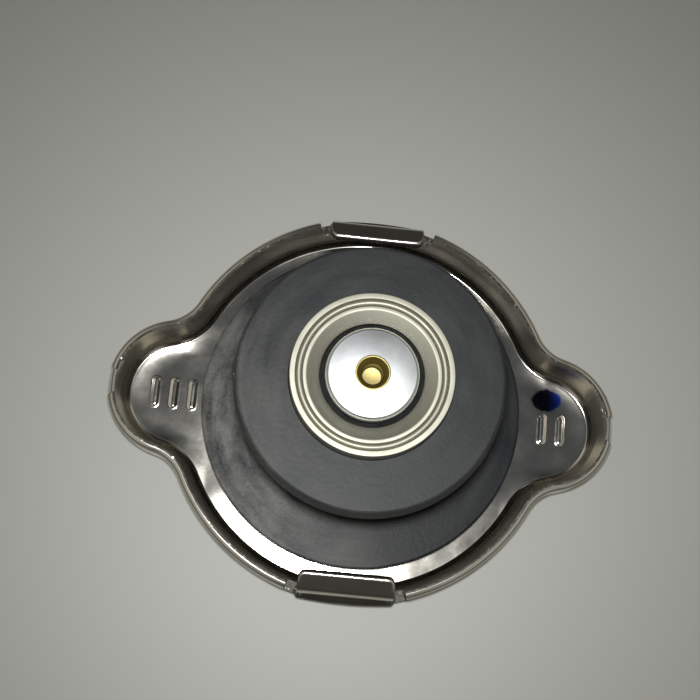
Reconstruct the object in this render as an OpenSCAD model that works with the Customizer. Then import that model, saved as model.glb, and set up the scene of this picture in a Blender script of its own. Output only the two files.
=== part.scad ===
// Pressed-steel radiator cap with two ears, lying on its lid with the valve side up.
// +Z is the cap's own axis, the outer face of the lid is z = 0 and the ears point along X.

/* [Shell] */
// Distance over the tips of the two ears
ear_span = 74; // [70:0.5:80]
// Radius of each ear, seen from above
ear_r = 9.75; // [8.5:0.25:11]
// Diameter of the round body's outline at the top of its rim
body_d = 56.7; // [54:0.1:59]
// Radius of the hollow blend between the body and an ear
blend_r = 6.6; // [5:0.1:8]
// Thickness of the sheet
sheet_t = 0.95; // [0.8:0.05:1.1]
// Height of the rim above the table
rim_z = 7.1; // [6.5:0.1:9]
// Inside radius of the corner between floor and skirt
corner_r = 2.3; // [1.8:0.1:2.8]
// How much the inside of the skirt closes in from the lid to the rim, on each side
skirt_flare = 0.45; // [0.1:0.05:0.6]
// Radius on the outer edge of the rim, which is rolled over
rim_roll_r = 0.85; // [0.4:0.05:0.9]
// Width of the round dish in the middle of the lid
dish_d = 15; // [13:0.5:18]
// Depth of that dish
dish_depth = 1.6; // [1.4:0.1:2]

// Width of the small flat that the trimming leaves on the rim at each ear's tip
tip_flat_w = 4; // [3:0.1:5]
// How far that flat reaches down from the rim
tip_flat_h = 1.2; // [0.8:0.1:1.6]

/* [Ear beads] */
// Length of a raised bead on the floor of an ear
bead_l = 4.4; // [2:0.1:5]
// Width of a bead
bead_w = 0.9; // [0.5:0.1:1.5]
// Height of a bead
bead_h = 0.2; // [0.1:0.05:0.4]
// Distance between neighbouring beads
bead_pitch = 2.8; // [2:0.1:3.5]

/* [Bayonet lugs] */
// Width of a lug along the rim
lug_w = 13.8; // [11:0.2:16]
// How far a lug reaches in from the rim
lug_reach = 3.5; // [3.2:0.1:3.9]
// Rise of a lug towards the middle, in degrees
lug_slope = 30; // [15:1:40]
// How far a lug's flat lies inside the round rim
lug_flat = 0.6; // [0.4:0.05:0.9]
// How far the middle of a lug's fold lies below the rim
lug_fold_drop = 0.45; // [0.2:0.05:0.7]
// Inside radius of a lug's fold
lug_bend_r = 0.4; // [0.3:0.05:0.6]
// Radius on the top of a lug's free edge
lug_edge_r = 0.45; // [0.2:0.05:0.6]
// Radius on a lug's free corners
lug_corner_r = 1; // [0.5:0.1:1.5]
// Width of the relief notch at each side of a lug
notch_w = 1.8; // [1.2:0.1:2.4]
// Depth of a relief notch below the rim
notch_depth = 3; // [2:0.1:3.4]

/* [Rivet and upper seal] */
// Diameter of the rivet's shank
rivet_d = 5; // [4:0.1:6]
// Diameter of the rivet's head and of its upset end
rivet_head_d = 9.4; // [8:0.1:10]
// Thickness of the rivet's head and of its upset end
rivet_head_t = 1; // [0.8:0.1:1.2]
// Gap around the shank in the lid, so the lid turns on it
rivet_run = 0.08; // [0.04:0.01:0.1]
// End play of the lid on the rivet, at each face
end_play = 0.12; // [0.1:0.01:0.15]
// Thickness of the disc spring under the upper seal
disc_t = 0.4; // [0.3:0.05:0.5]
// Diameter of the disc spring
disc_d = 45; // [42:0.5:46]
// Outside diameter of the upper seal
upper_seal_d = 47.4; // [46:0.1:48]
// Thickness of the upper seal
upper_seal_t = 1.6; // [1.2:0.1:1.8]
// Height of the land on the upper seal that meets the filler neck
neck_land_h = 0.15; // [0.1:0.05:0.2]

/* [Bell] */
// Thickness of the bell's sheet
bell_t = 0.7; // [0.5:0.05:0.8]
// Inside radius of the bell's drawn corners
bell_bend_r = 0.6; // [0.4:0.1:0.8]
// Outside diameter of the bell's tube
bell_d = 21.4; // [20.6:0.1:22]
// Diameter of the bell's flange on the upper seal
bell_flange_d = 31; // [29.6:0.1:32]
// Height of the bell from its flange to its mouth
bell_h = 14.5; // [13:0.1:16]
// Width of the windows in the bell's wall
window_w = 6; // [4:0.5:8]
// Height of those windows
window_h = 6; // [4:0.5:7]

/* [Pressure valve] */
// Height of the pressure seal's face above the table
face_z = 28.1; // [27:0.1:29]
// Outside diameter of the pressure seal
seal_d = 35.4; // [34.4:0.1:36.4]
// Thickness of the pressure seal
seal_t = 3.1; // [2.8:0.1:3.4]
// How much the pressure seal widens towards its foot, on each side
seal_taper = 0.4; // [0.1:0.05:0.5]
// Radius on the pressure seal's outer edge
seal_edge_r = 0.5; // [0.3:0.1:0.8]
// Depth of the retainer's seat in the pressure seal's face
seat_step = 0.1; // [0.05:0.05:0.2]
// Thickness of the pressure plate
plate_t = 0.8; // [0.6:0.05:1]
// Diameter of the pressure plate
plate_d = 33; // [31:0.1:34]
// Outside diameter of the plate's hub, which slides in the bell's mouth
hub_d = 16; // [15:0.1:16.4]
// Gap around the hub in the bell's mouth
hub_gap = 0.5; // [0.35:0.05:0.7]
// Gap at rest between the hub's hooked edge and the bell's lip
stop_gap = 0.1; // [0.05:0.01:0.15]
// Wire diameter of the pressure spring
spring_wire = 2; // [1.6:0.1:2.2]
// Mean diameter of the pressure spring
spring_d = 26; // [25:0.1:26.6]
// Turns of the pressure spring
spring_turns = 6; // [5:0.25:7]

/* [Seal retainer] */
// Outside diameter of the retainer
retainer_d = 21.4; // [21:0.1:22]
// Height of the retainer's rim above the seal's face
retainer_h = 2.4; // [2.2:0.1:2.6]
// Thickness of the retainer's sheet
retainer_t = 0.8; // [0.7:0.05:0.85]
// Diameter of the opening in the retainer's bowl
bowl_d = 12.8; // [12.6:0.1:13.2]
// Radius of the bowl's hollow wall
bowl_r = 1.9; // [1.8:0.05:2]

/* [Vacuum valve] */
// Diameter of the vacuum valve's cup
cup_d = 12.2; // [11.6:0.1:12.4]
// Height of the cup
cup_h = 2.3; // [2:0.1:2.6]
// Thickness of the cup's sheet
cup_t = 0.8; // [0.7:0.05:0.9]
// Height of the crown on the cup
crown_h = 0.5; // [0.3:0.05:0.7]
// Gap at rest between the cup and the seal's inner lip
seat_gap = 0.05; // [0.02:0.01:0.1]
// Diameter of the brass stem
stem_d = 3.6; // [3.2:0.1:3.8]
// Diameter of the stem's flared end
flare_d = 4.6; // [4.4:0.1:5]
// Gap between the stem's collar and the underside of the cup
collar_gap = 0.1; // [0.05:0.01:0.15]
// Diameter of the stem's blind bore
bore_d = 2.7; // [2.2:0.1:2.8]
// Depth of that bore
bore_depth = 3.2; // [2:0.1:4]
// Gap around the stem in the pressure plate
stem_run = 0.1; // [0.05:0.01:0.1]
// Wire diameter of the vacuum spring
vacuum_wire = 0.5; // [0.4:0.05:0.6]
// Mean diameter of the vacuum spring
vacuum_spring_d = 5.2; // [5:0.1:5.6]
// Length of the vacuum spring at rest
vacuum_spring_l = 5.4; // [5:0.1:5.8]
// Turns of the vacuum spring
vacuum_turns = 5; // [4:0.25:5.5]
// Diameter of the spring's seat washer
washer_d = 8; // [7.4:0.1:9]
// Thickness of that washer
washer_t = 0.6; // [0.5:0.05:0.8]

/* [Hidden] */
// Smoothness of round surfaces
$fn = 96;
// Overlap of cutting shapes past the faces they cut
over = 1;
// Depth of the floor strip that each swept piece of the shell carries
strip_in = 6.4;
// Depth of the floor plate's edge inside the outline
plate_in = 5.4;
body_r = body_d / 2;
// Outside radius of the corner between lid and skirt
corner_out = corner_r + sheet_t;
// Where the inside of the skirt starts to close in
taper_z = corner_out + 0.2;
// Where the roll on the rim's outer edge starts
roll_z = rim_z - rim_roll_r;
// Centre of an ear and of the blend beside it
ear_x = ear_span / 2 - ear_r;
body_reach = body_r + blend_r;
ear_reach = ear_r + blend_r;
blend_x = (body_reach * body_reach - ear_reach * ear_reach + ear_x * ear_x) / (2 * ear_x);
blend_y = sqrt(body_reach * body_reach - blend_x * blend_x);
// The blend's place in thousandths, and what is left over
blend_coarse = [floor(blend_x * 1000) / 1000, floor(blend_y * 1000) / 1000, 0];
blend_fine = [blend_x, blend_y, 0] - blend_coarse;
// A lug's upright flat, and the foot of the shoulder that leads in to it
lug_out = body_r - lug_flat;
lug_foot_z = rim_z - notch_depth;
lug_foot = body_r + skirt_flare;
lug_shoulder_z = lug_foot_z + lug_foot - lug_out;
// Depth of the flat on an ear's tip
tip_flat_in = ear_r - sqrt(ear_r * ear_r - tip_flat_w * tip_flat_w / 4);
// Bend of the dish, which rises in two quarter turns, and where its wall starts
dish_bend = (dish_depth - sheet_t) / 2;
dish_out = dish_d / 2 + dish_bend + sheet_t / 2;
dish_in = dish_out - 2 * dish_bend - sheet_t;
// Levels of the stack from the lid up to the bell
boss_z = sheet_t + dish_depth;
disc_z = boss_z + end_play;
upper_z = disc_z + disc_t;
bell_z = upper_z + upper_seal_t - neck_land_h;
bell_floor = bell_z + bell_t;
mouth_z = bell_z + bell_h;
hook_z = mouth_z - bell_t - stop_gap;
// Levels of the pressure valve
seal_z = face_z - seal_t;
plate_z = seal_z - plate_t;
seat_z = face_z - seat_step;
hub_r = hub_d / 2;
bell_r = bell_d / 2;
bell_in = bell_r - bell_t;
// The seal's inner land, which carries the bowl, and the lip for the vacuum cup
bowl_z = face_z + retainer_h - 0.3;
land_z = bowl_z - bowl_r - bowl_t();
lip_out = cup_d / 2 - 0.1;
lip_in = cup_d / 2 - cup_t;
lip_z = land_z + 1.3;
// Levels of the vacuum valve
cup_z = lip_z + seat_gap;
cup_top = cup_z + cup_h;
// Radius of the cup's crown, the middle of that round, and the height of the stem's collar under it
crown_x = cup_d / 2 - cup_t;
crown_r = (crown_x * crown_x + crown_h * crown_h) / (2 * crown_h);
crown_z = cup_top - crown_r;
collar_r = flare_d / 2 + 0.6;
collar_z = crown_z + sqrt(pow(crown_r - cup_t, 2) - collar_r * collar_r) - collar_gap;
washer_z = plate_z - vacuum_spring_l - washer_t;
stem_r = stem_d / 2;

function bowl_t() = retainer_t - 0.1;

// A quarter of a disc with its corner at the origin, towards +X and -Y
module quarter(r) {
    intersection() {
        circle(r);
        translate([0, -r])
            square(r);
    }
}

// A quarter of a ring, towards +X and -Y
module quarter_ring(inner, outer) {
    difference() {
        quarter(outer);
        circle(inner);
    }
}

// Half the section of a domed head of radius r and height h, standing on y = 0 with an edge that high
module dome(r, h, edge) {
    rise = h - edge;
    ball = (r * r + rise * rise) / (2 * rise);
    intersection() {
        square([r, h]);
        translate([0, h - ball])
            circle(ball, $fn = 360);
    }
}

// Section of the sheet across the rim: x is the distance out from the rim's outline
module skin() {
    floor_x = skirt_flare - corner_out;
    roll_x = skirt_flare - rim_roll_r;
    translate([-strip_in, 0])
        square([strip_in + floor_x, sheet_t]);
    translate([floor_x, corner_out])
        quarter_ring(corner_r, corner_out);
    polygon([[skirt_flare - sheet_t, corner_out], [skirt_flare, corner_out], [skirt_flare, roll_z],
        [roll_x, roll_z], [roll_x, rim_z], [-sheet_t, rim_z], [skirt_flare - sheet_t, taper_z]]);
    translate([roll_x, roll_z])
        mirror([0, 1])
            quarter(rim_roll_r);
}

// Keeps the part of its children above a plan outline
module above(points) {
    intersection() {
        children();
        translate([0, 0, -over])
            linear_extrude(rim_z + 2 * over)
                polygon(points);
    }
}

// One side of the round body, between two blends
module body_side() {
    above([[0, 0], [blend_x, blend_y], [0, 2 * body_r], [-blend_x, blend_y]])
        rotate_extrude()
            translate([body_r, 0])
                skin();
}

// The round end of the +X ear
module ear_end() {
    above([[ear_x, 0], [blend_x, -blend_y], [ear_span, 0], [blend_x, blend_y]])
        translate([ear_x, 0, 0])
            rotate_extrude()
                translate([ear_r, 0])
                    skin();
}

// The hollow blend between the body and the +X ear, on its +Y side
module ear_blend() {
    above([[0, 0], [ear_x, 0], [blend_x, blend_y]])
        translate(blend_coarse)
            translate(blend_fine)
                rotate_extrude()
                    translate([blend_r, 0])
                        mirror([1, 0])
                            skin();
}

// Flat middle of the lid, with an edge inside the floor strips and room for the dish
module floor_plate() {
    reach = (body_r - plate_in) / body_reach;
    tip = (ear_r - plate_in) / ear_reach;
    ear_edge = [ear_x + (blend_x - ear_x) * tip, blend_y * tip];
    linear_extrude(sheet_t)
        difference() {
            union() {
                circle(body_r - plate_in);
                polygon([[blend_x, blend_y] * reach, ear_edge, [ear_x + ear_r - plate_in, 0],
                    [ear_edge.x, -ear_edge.y], [blend_x, -blend_y] * reach, [-blend_x, -blend_y] * reach,
                    [-ear_edge.x, -ear_edge.y], [plate_in - ear_r - ear_x, 0], [-ear_edge.x, ear_edge.y],
                    [-blend_x, blend_y] * reach]);
            }
            circle(dish_out + 0.5);
        }
}

// Dish in the middle of the lid: the sheet rises in two quarter turns to the flat under the rivet
module dish() {
    hole_r = rivet_d / 2 + rivet_run;
    rotate_extrude() {
        translate([dish_out, 0])
            square([1.5, sheet_t]);
        translate([dish_out, sheet_t + dish_bend])
            mirror([1, 0])
                quarter_ring(dish_bend, dish_bend + sheet_t);
        translate([dish_in, dish_depth - dish_bend])
            mirror([0, 1])
                quarter_ring(dish_bend, dish_bend + sheet_t);
        translate([hole_r, dish_depth])
            square([dish_in - hole_r, sheet_t]);
    }
}

// Section of a lug from its foot in the skirt over the shoulder and the fold to its free edge, with y as the height
module lug_section() {
    steps = 8;
    edge_steps = 4;
    fold_r = lug_bend_r + sheet_t;
    fold = [lug_out - fold_r, rim_z - lug_fold_drop];
    along = [-cos(lug_slope), sin(lug_slope)];
    up = [sin(lug_slope), cos(lug_slope)];
    reach = (fold.x + fold_r * up.x - body_r + lug_reach) / cos(lug_slope);
    edge = fold + (fold_r - lug_edge_r) * up + (reach - lug_edge_r) * along;
    turns = [for (step = [0:steps]) (90 - lug_slope) * step / steps];
    over_side = [for (turn = turns) fold + fold_r * [cos(turn), sin(turn)]];
    free_edge = [for (step = [0:edge_steps])
        let (turn = 90 * step / edge_steps)
        edge + lug_edge_r * (cos(turn) * up + sin(turn) * along)];
    under_side = [for (step = [steps:-1:0]) fold + lug_bend_r * [cos(turns[step]), sin(turns[step])]];
    polygon(concat([[lug_foot, lug_foot_z], [lug_out, lug_shoulder_z]], over_side, free_edge,
        [fold + lug_bend_r * up + reach * along], under_side,
        [[lug_out - sheet_t, lug_shoulder_z - sheet_t * tan(22.5)], [lug_foot - sheet_t, lug_foot_z]]));
}

// A lug at +Y: the skirt steps in to a flat with a straight fold, and the sheet turns in over the opening
module lug() {
    intersection() {
        translate([-lug_w / 2, 0, 0])
            rotate([90, 0, 90])
                linear_extrude(lug_w)
                    lug_section();
        cylinder(h = 2 * rim_z, r = lug_foot);
        linear_extrude(2 * rim_z)
            lug_plan();
    }
}

// Plan of a lug, with its two free corners rounded
module lug_plan() {
    edge_y = body_r - lug_reach - sheet_t * sin(lug_slope);
    half = lug_w / 2;
    translate([-half, edge_y + lug_corner_r])
        square([lug_w, body_r]);
    translate([lug_corner_r - half, edge_y - over])
        square([lug_w - 2 * lug_corner_r, body_r]);
    for (side = [-1, 1])
        translate([side * (half - lug_corner_r), edge_y + lug_corner_r])
            circle(lug_corner_r);
}

// What is cut from the skirt at +Y: the round in front of the lug's flat, and a relief notch at each side
module lug_room() {
    far = body_r + 2;
    inside = sheet_t / 2;
    translate([-lug_w / 2, -inside, 0])
        rotate([90, 0, 90])
            linear_extrude(lug_w)
                polygon([[lug_foot, lug_foot_z], [far, lug_foot_z], [far, rim_z + over], [lug_out, rim_z + over],
                    [lug_out, lug_shoulder_z]]);
    for (side = [-1, 1])
        translate([side > 0 ? lug_w / 2 : -lug_w / 2 - notch_w, body_r - 4 * sheet_t, lug_foot_z])
            cube([notch_w, 4 * sheet_t + 2, notch_depth + 2]);
}

// What is cut from the rim at the +X ear's tip
module tip_flat() {
    translate([ear_span / 2 - tip_flat_in, -ear_r / 2, rim_z - tip_flat_h])
        cube([2, ear_r, tip_flat_h + over]);
}

// A rounded bead on the floor of an ear, along Y; lifted by level it is also the hollow behind the bead
module bead(level) {
    wire = (bead_w * bead_w / 4 + bead_h * bead_h) / (2 * bead_h);
    straight = bead_l - bead_w;
    translate([0, 0, level + bead_h - wire]) {
        rotate([90, 0, 0])
            cylinder(h = straight, r = wire, center = true);
        for (side = [-1, 1])
            translate([0, side * straight / 2, 0])
                sphere(wire);
    }
}

// Places of the beads: three on one ear and two on the other
module at_beads() {
    for (place = [-1, 0, 1])
        translate([-ear_x - 1 + place * bead_pitch, 0, 0])
            children();
    for (place = [-0.5, 0.5])
        translate([ear_x + 2 + place * bead_pitch, 0, 0])
            children();
}

// The sheet of the lid with its skirt, ears, dish, beads and lugs, pressed in one piece
module cap_shell() {
    color("silver")
        difference() {
            union() {
                difference() {
                    union() {
                        floor_plate();
                        for (turn = [0, 180])
                            rotate([0, 0, turn]) {
                                body_side();
                                ear_end();
                                ear_blend();
                                mirror([0, 1, 0])
                                    ear_blend();
                            }
                        dish();
                    }
                    for (turn = [0, 180])
                        rotate([0, 0, turn]) {
                            lug_room();
                            tip_flat();
                        }
                }
                for (turn = [0, 180])
                    rotate([0, 0, turn])
                        lug();
                at_beads()
                    bead(sheet_t);
            }
            at_beads()
                bead(0);
        }
}

// The rivet that carries the valves on the lid, with a domed head at each end
module centre_rivet() {
    head_z = dish_depth - end_play;
    edge = 0.4;
    color("gainsboro")
        rotate_extrude() {
            translate([0, head_z])
                mirror([0, 1])
                    dome(rivet_head_d / 2, rivet_head_t, edge);
            translate([0, head_z - rivet_head_t / 2])
                square([rivet_d / 2, bell_floor - head_z + rivet_head_t]);
            translate([0, bell_floor])
                dome(rivet_head_d / 2 - 0.5, rivet_head_t, edge);
        }
}

// Thin disc spring that presses the upper seal onto the filler neck
module spring_disc() {
    color("lightgray")
        translate([0, 0, disc_z])
            difference() {
                cylinder(h = disc_t, d = disc_d);
                translate([0, 0, -over])
                    cylinder(h = disc_t + 2 * over, d = rivet_d);
            }
}

// Rubber seal with a raised land against the top of the filler neck
module upper_seal() {
    edge = 0.4;
    hole_r = rivet_d / 2;
    seal_r = upper_seal_d / 2;
    land_in = bell_flange_d / 2 + 0.4;
    color("dimgray")
        translate([0, 0, upper_z])
            rotate_extrude() {
                polygon([[hole_r, 0], [seal_r, 0], [seal_r, upper_seal_t - edge],
                    [seal_r - edge, upper_seal_t - edge], [seal_r - edge, upper_seal_t], [land_in, upper_seal_t],
                    [land_in, upper_seal_t - neck_land_h], [hole_r, upper_seal_t - neck_land_h]]);
                translate([seal_r - edge, upper_seal_t - edge])
                    mirror([0, 1])
                        quarter(edge);
            }
}

// Bell that guides the pressure valve and holds it by a lip at its mouth
module spring_bell() {
    bend_out = bell_bend_r + bell_t;
    fillet = bell_bend_r;
    color("lightgray")
        translate([0, 0, bell_z])
            difference() {
                rotate_extrude() {
                    translate([rivet_d / 2, 0])
                        square([(bell_flange_d - rivet_d) / 2, bell_t]);
                    difference() {
                        translate([bell_in, bell_t / 2])
                            square([bell_t + fillet, bell_t / 2 + fillet]);
                        translate([bell_r + fillet, bell_t + fillet])
                            circle(fillet);
                    }
                    translate([bell_in, bell_t])
                        square([bell_t, bell_h - bell_t - bend_out]);
                    translate([bell_r - bend_out, bell_h - bend_out])
                        mirror([0, 1])
                            quarter_ring(bell_bend_r, bend_out);
                    translate([hub_r + hub_gap, bell_h - bell_t])
                        square([bell_r - bend_out - hub_r - hub_gap, bell_t]);
                }
                for (turn = [0, 90, 180, 270])
                    rotate([0, 0, turn + 45])
                        translate([0, -window_w / 2, 3])
                            cube([bell_r + over, window_w, window_h]);
            }
}

// A coil of round wire standing on z = 0, with closed end turns
module coil(length, mean_d, wire_d, turns) {
    sides = 8;
    per_turn = 20;
    steps = ceil(turns * per_turn);
    closed = 0.9;
    flat_pitch = wire_d * 1.06;
    pitch = (length - wire_d - 2 * closed * flat_pitch) / (turns - 2 * closed);
    height = function(t) wire_d / 2 + flat_pitch * (min(t, closed) + max(0, t - turns + closed))
        + pitch * max(0, min(t, turns - closed) - closed);
    points = [for (step = [0:steps]) for (side = [0:sides - 1])
        let (t = turns * step / steps, a = 360 * t, b = 360 * side / sides)
        [(mean_d / 2 + wire_d / 2 * cos(b)) * cos(a), (mean_d / 2 + wire_d / 2 * cos(b)) * sin(a),
            height(t) + wire_d / 2 * sin(b)]];
    walls = [for (step = [0:steps - 1]) for (side = [0:sides - 1])
        let (next = (side + 1) % sides)
        [step * sides + side, (step + 1) * sides + side, (step + 1) * sides + next, step * sides + next]];
    first = [for (side = [0:sides - 1]) side];
    last = [for (side = [sides - 1:-1:0]) steps * sides + side];
    polyhedron(points, concat(walls, [first, last]), convexity = 8);
}

// Coil that holds the pressure valve down on its seat
module pressure_spring() {
    color("slategray")
        translate([0, 0, bell_floor])
            coil(plate_z - bell_floor, spring_d, spring_wire, spring_turns);
}

// Plate behind the pressure seal, drawn into a hub with a hooked edge
module pressure_plate() {
    hook_r = bell_r - bell_t - bell_bend_r;
    hook_low = hook_z - bell_t;
    fillet = bell_bend_r;
    color("lightgray")
        difference() {
            rotate_extrude() {
                translate([0, plate_z])
                    square([plate_d / 2, plate_t]);
                translate([hub_r - bell_t, hook_low])
                    square([bell_t, plate_z - hook_low + plate_t / 2]);
                translate([hub_r - bell_t, hook_low])
                    square([hook_r - hub_r + bell_t, bell_t]);
                difference() {
                    translate([hub_r - bell_t / 2, plate_z - fillet])
                        square([bell_t / 2 + fillet, fillet + plate_t / 2]);
                    translate([hub_r + fillet, plate_z - fillet])
                        circle(fillet);
                }
            }
            cylinder(h = face_z, r = stem_r + stem_run);
            for (turn = [0, 90, 180, 270])
                rotate([0, 0, turn])
                    translate([lip_in - 1, 0, 0])
                        cylinder(h = face_z, r = 0.7, $fn = 32);
        }
}

// Rubber seal of the pressure valve, with a lip inside for the vacuum cup
module pressure_seal() {
    seal_r = seal_d / 2;
    edge_x = seal_r - seal_edge_r;
    edge_z = face_z - seal_edge_r;
    step_in = bowl_d / 2 + 0.7;
    step_out = bowl_d / 2 + 1.9;
    seat_r = retainer_d / 2 + 0.15;
    color("darkslategray")
        rotate_extrude()
            union() {
                polygon([[lip_in, seal_z], [seal_r + seal_taper, seal_z], [seal_r, edge_z], [edge_x, edge_z],
                    [edge_x, face_z], [seat_r, face_z], [seat_r, seat_z], [step_out, seat_z], [step_in, land_z],
                    [lip_out, land_z], [lip_out, lip_z], [lip_in, lip_z]]);
                translate([edge_x, edge_z])
                    mirror([0, 1])
                        quarter(seal_edge_r);
            }
}

// Stepped ring that clamps the seal, with a hollow bowl around the vacuum valve
module seal_retainer() {
    rim_r = retainer_d / 2;
    ridge_x = bowl_d / 2 + bowl_r + bowl_t() / 2;
    shelf_z = bowl_z - 0.6;
    edge = 0.25;
    color("wheat")
        rotate_extrude()
            union() {
                translate([bowl_d / 2, bowl_z])
                    difference() {
                        quarter(bowl_r + bowl_t());
                        circle(bowl_r);
                    }
                translate([ridge_x, bowl_z])
                    circle(d = bowl_t());
                translate([ridge_x, shelf_z - bowl_t()])
                    square([rim_r - retainer_t / 2 - ridge_x, bowl_t()]);
                translate([rim_r - retainer_t, seat_z])
                    square([retainer_t, retainer_h + seat_step - edge]);
                translate([rim_r - retainer_t, face_z + retainer_h - edge])
                    square([retainer_t - edge, edge]);
                translate([rim_r - edge, face_z + retainer_h - edge])
                    mirror([0, 1])
                        quarter(edge);
            }
}

// Cup of the vacuum valve with its crowned top, which closes on the seal's inner lip
module vacuum_cup() {
    cup_r = cup_d / 2;
    shoulder_z = cup_top - crown_h - cup_t + 0.03;
    color("whitesmoke")
        rotate_extrude()
            difference() {
                intersection() {
                    translate([0, crown_z])
                        circle(crown_r, $fn = 720);
                    union() {
                        translate([0, cup_z])
                            square([cup_r, shoulder_z - cup_z]);
                        translate([0, cup_z])
                            square([crown_x, cup_h]);
                        translate([crown_x, shoulder_z])
                            mirror([0, 1])
                                quarter(cup_t);
                    }
                }
                intersection() {
                    translate([0, crown_z])
                        circle(crown_r - cup_t, $fn = 720);
                    translate([0, cup_z - over])
                        square([crown_x, cup_h]);
                }
                translate([0, cup_z])
                    square([flare_d / 2, cup_h]);
            }
}

// Hollow brass stem, flared into the cup and upset under the spring's washer
module vacuum_stem() {
    collar_t = 0.6;
    flare_z = cup_top - 0.05;
    color("darkkhaki")
        rotate_extrude()
            polygon([[0, washer_z - collar_t], [flare_d / 2 + 0.5, washer_z - collar_t], [flare_d / 2 + 0.5, washer_z],
                [stem_r, washer_z], [stem_r, collar_z - collar_t], [collar_r, collar_z - collar_t],
                [collar_r, collar_z], [flare_d / 2, collar_z], [flare_d / 2, flare_z], [flare_d / 2 - 0.25, flare_z],
                [bore_d / 2, flare_z - 1], [bore_d / 2, flare_z - bore_depth], [0, flare_z - bore_depth]]);
}

// Light coil that pulls the vacuum cup onto its lip
module vacuum_spring() {
    color("slategray")
        translate([0, 0, washer_z + washer_t])
            coil(vacuum_spring_l, vacuum_spring_d, vacuum_wire, vacuum_turns);
}

// Washer under the vacuum spring, held by the stem's upset end
module spring_washer() {
    color("gainsboro")
        translate([0, 0, washer_z])
            difference() {
                cylinder(h = washer_t, d = washer_d);
                translate([0, 0, -over])
                    cylinder(h = washer_t + 2 * over, d = stem_d);
            }
}

cap_shell();
centre_rivet();
spring_disc();
upper_seal();
spring_bell();
pressure_spring();
pressure_plate();
pressure_seal();
seal_retainer();
vacuum_cup();
vacuum_stem();
vacuum_spring();
spring_washer();
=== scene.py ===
"""Looks of a pressed-steel radiator cap, lying on its lid with the valve side up.

Sizes are in millimetres and become metres when a mesh is made.
"""

import logging
import math
from dataclasses import dataclass, field
from enum import Enum
from typing import Iterable, Sequence

import bmesh
import bpy
from bpy.types import Material, Node, NodeSocket, NodeTree, Object
from mathutils import Matrix, Vector


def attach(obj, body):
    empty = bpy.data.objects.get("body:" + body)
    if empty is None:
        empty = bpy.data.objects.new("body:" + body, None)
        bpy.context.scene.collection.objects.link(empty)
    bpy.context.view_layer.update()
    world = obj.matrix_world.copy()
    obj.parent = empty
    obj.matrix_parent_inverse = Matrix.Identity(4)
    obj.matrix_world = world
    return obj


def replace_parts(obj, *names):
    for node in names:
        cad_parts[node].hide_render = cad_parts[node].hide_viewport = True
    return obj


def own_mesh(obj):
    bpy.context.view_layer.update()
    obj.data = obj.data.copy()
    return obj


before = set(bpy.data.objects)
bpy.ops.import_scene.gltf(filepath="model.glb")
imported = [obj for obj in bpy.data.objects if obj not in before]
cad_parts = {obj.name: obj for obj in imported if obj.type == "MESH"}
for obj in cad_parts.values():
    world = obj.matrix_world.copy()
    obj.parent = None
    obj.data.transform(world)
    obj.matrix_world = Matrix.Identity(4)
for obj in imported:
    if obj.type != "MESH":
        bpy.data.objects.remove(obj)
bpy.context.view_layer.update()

LOG = logging.getLogger("radiator_cap")
MM = 0.001
FROM = ("From Min", "From Max")
TO = ("To Min", "To Max")
SHARP_TURN = math.radians(40)

Point = tuple[float, float, float]
Pair = tuple[float, float]
Corner = tuple[float, float, float]


class Body(Enum):
    """Bodies of the cap that move by themselves."""

    LID = "lid"
    CARRIER = "carrier"
    PRESSURE = "pressure_valve"
    VACUUM = "vacuum_valve"


class Slot(Enum):
    """Material slots of the record."""

    PLATED = "plated_steel"
    RIVET = "rivet_steel"
    SPRING = "spring_steel"
    RUBBER = "seal_rubber"
    STAINLESS = "stainless_steel"
    CUP = "cup_steel"
    BRASS = "stem_brass"


class Strip(Enum):
    """What the skirt does between two neighbouring columns of the rim."""

    WALL = "wall"
    NOTCH = "notch"
    LUG = "lug"


# Colours and nodes


def linear(code: str) -> tuple[float, float, float, float]:
    """Turns an sRGB hex colour into linear RGBA.

    Args:
        code: Colour such as "#c8c4ba".

    Returns:
        Linear red, green, blue and alpha.
    """
    def channel(start: int) -> float:
        """Linear value of the two hex digits at start."""
        value = int(code[start:start + 2], 16) / 255
        return value / 12.92 if value <= 0.04045 else ((value + 0.055) / 1.055) ** 2.4

    return (channel(1), channel(3), channel(5), 1.0)


def per(size_mm: float) -> float:
    """Pattern scale, in cells per metre, for a pattern of that real size."""
    return 1000.0 / size_mm


def metres(sizes_mm: Iterable[float]) -> tuple[float, ...]:
    """Sizes in metres, from sizes in millimetres."""
    return tuple(size * MM for size in sizes_mm)


def add_node(tree: NodeTree, kind: str, inputs: dict | None = None, **settings: object) -> Node:
    """Adds a node with its settings and links.

    Args:
        tree: Node tree that gets the node.
        kind: Blender's name for the kind of node, without its ShaderNode.
        inputs: Values or sockets, by the name or number of the input, or two at a time by a pair of names.
        settings: Properties of the node.

    Returns:
        The new node.
    """
    node = tree.nodes.new("ShaderNode" + kind)
    for name, value in settings.items():
        setattr(node, name, value)
    for key, value in (inputs or {}).items():
        for name, given in zip(key, value) if isinstance(key, tuple) else [(key, value)]:
            if isinstance(given, NodeSocket):
                tree.links.new(given, node.inputs[name])
            else:
                node.inputs[name].default_value = given
    return node


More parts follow.
